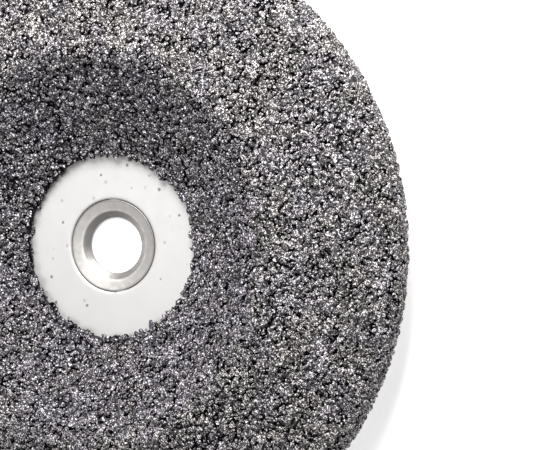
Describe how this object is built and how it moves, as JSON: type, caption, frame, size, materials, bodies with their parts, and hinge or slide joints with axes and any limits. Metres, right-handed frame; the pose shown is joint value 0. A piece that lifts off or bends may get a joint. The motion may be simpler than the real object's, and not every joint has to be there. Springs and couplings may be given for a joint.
{
  "type": "angle grinder carving disc",
  "caption": "Dished steel disc with a coarse carbide grit face, a bare recessed hub and a countersunk reducing ring in its bore.",
  "frame": {"origin": "centre of the bore on the hub's back face", "axes": "+Z along the spindle axis, from the hub's back towards the working face"},
  "size_m": [0.11, 0.11, 0.0143],
  "materials": {
    "bright_steel": "satin plated sheet steel, near white",
    "ring_steel": "plain grey turned steel",
    "braze": "dark braze alloy",
    "carbide": "coarse crushed carbide grains with bright facets"
  },
  "bodies": {
    "disc": {"steel_dish": "bright_steel", "braze_coat": "braze", "carbide_grit": "carbide"},
    "ring": {"reducing_ring": "ring_steel"}
  },
  "joints": [
    {"name": "ring_lift", "type": "slide", "parent": "disc", "child": "ring", "axis": [0, 0, 1], "range_m": [0, 0.02]}
  ]
}
